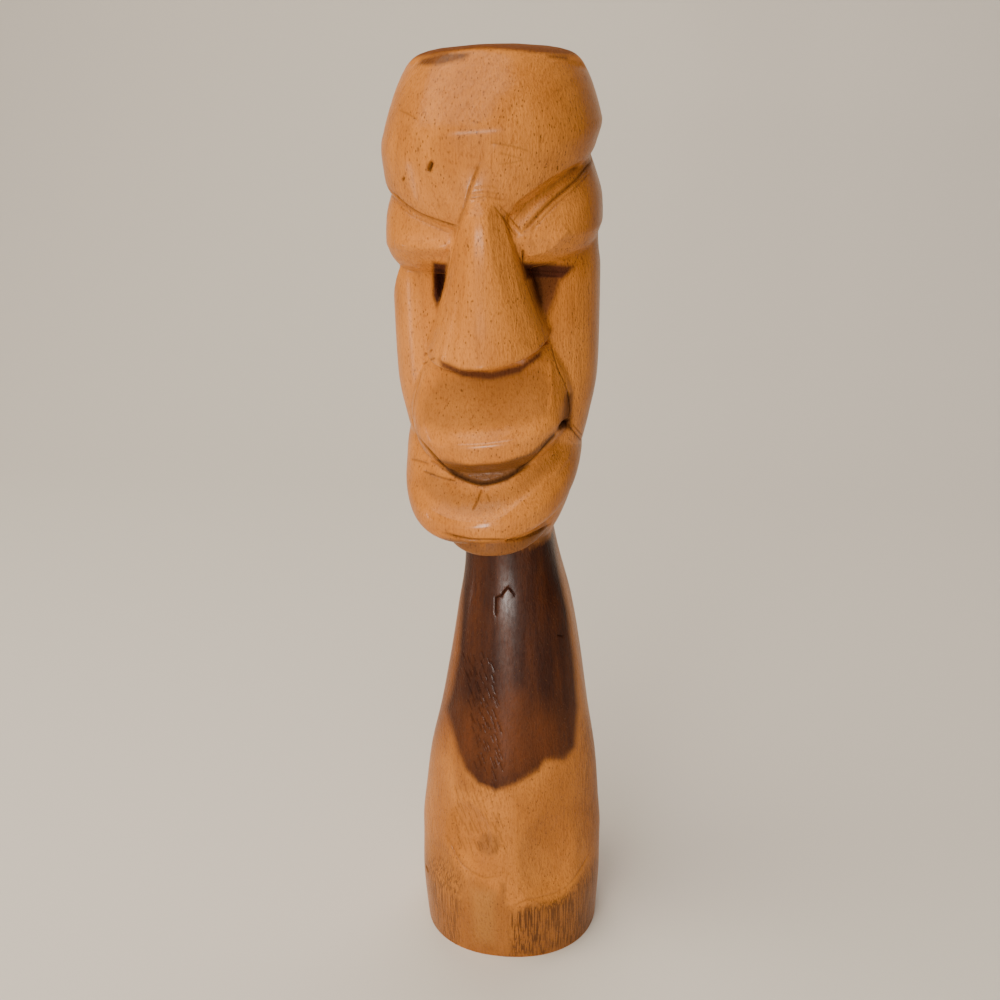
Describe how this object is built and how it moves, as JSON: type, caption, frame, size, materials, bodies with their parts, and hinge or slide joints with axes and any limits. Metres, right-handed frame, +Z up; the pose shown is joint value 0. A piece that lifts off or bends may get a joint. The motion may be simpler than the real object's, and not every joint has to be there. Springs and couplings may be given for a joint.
{
  "type": "carved wooden bust",
  "caption": "Tall carved wooden bust: a long stylised head with a cone nose and slab lips on a slender neck that flares to a round, flat-bottomed base cut from one branch",
  "frame": {"origin": "on the surface it stands on, under the middle of the outline", "axes": "+Z up, along the branch; -Y is the way the face looks; +X is the figure's left, on the viewer's right from the front"},
  "size_m": [0.0848, 0.086, 0.38],
  "materials": {
    "varnished_wood": "satin varnish over warm tan sapwood, with dark red-brown heartwood on the neck, in the eye sockets and at the crown's edge"
  },
  "bodies": {
    "root": {"carved_bust": "varnished_wood"}
  },
  "joints": []
}
